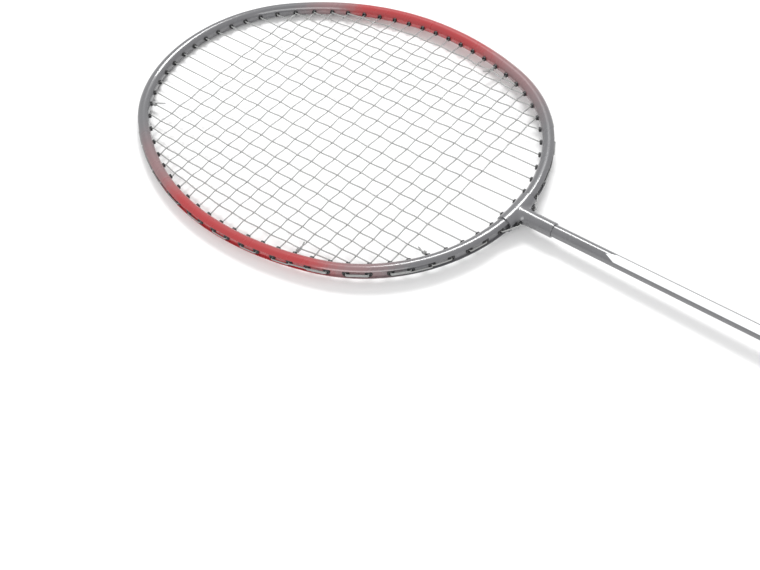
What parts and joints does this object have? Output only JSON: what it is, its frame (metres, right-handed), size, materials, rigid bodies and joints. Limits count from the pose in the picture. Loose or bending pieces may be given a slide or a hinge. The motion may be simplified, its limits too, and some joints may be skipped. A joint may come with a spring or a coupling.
{
  "type": "badminton racket",
  "caption": "Light racket with an oval steel head strung both ways, a T-shaped throat joint, a thin round shaft and an octagonal wrapped grip.",
  "frame": {"origin": "centre of the butt cap's flat end face, on the racket's long axis", "axes": "+X from the butt along the shaft to the head top, +Z normal to the string bed, +Y to the left"},
  "size_m": [0.6615, 0.1984, 0.0296],
  "materials": {
    "rim_paint": "satin grey fading to red on both sides",
    "joint_paint": "gloss grey",
    "shaft_paint": "gloss grey with a white stripe",
    "pin_steel": "drawn",
    "handle_wood": "planed",
    "cone_plastic": "moulded",
    "cap_plastic": "moulded",
    "grip_wrap": "soft synthetic, perforated",
    "finishing_tape": "vinyl",
    "grommet_plastic": "moulded",
    "string_nylon": "translucent white nylon"
  },
  "bodies": {
    "root": {"rim_tube": "rim_paint", "throat_joint": "joint_paint", "shaft_tube": "shaft_paint", "shaft_pin": "pin_steel", "handle_core": "handle_wood", "handle_cone": "cone_plastic", "butt_cap": "cap_plastic", "grip_wrap": "grip_wrap", "finishing_tape": "finishing_tape", "joint_grommets": "grommet_plastic", "throat_grommets_left": "grommet_plastic", "lower_grommets_left": "grommet_plastic", "middle_grommets_left": "grommet_plastic", "upper_grommets_left": "grommet_plastic", "top_grommets_left": "grommet_plastic", "throat_grommets_right": "grommet_plastic", "lower_grommets_right": "grommet_plastic", "middle_grommets_right": "grommet_plastic", "upper_grommets_right": "grommet_plastic", "top_grommets_right": "grommet_plastic", "main_string": "string_nylon", "cross_string": "string_nylon", "main_string_knots": "string_nylon", "cross_string_knots": "string_nylon"}
  },
  "joints": []
}
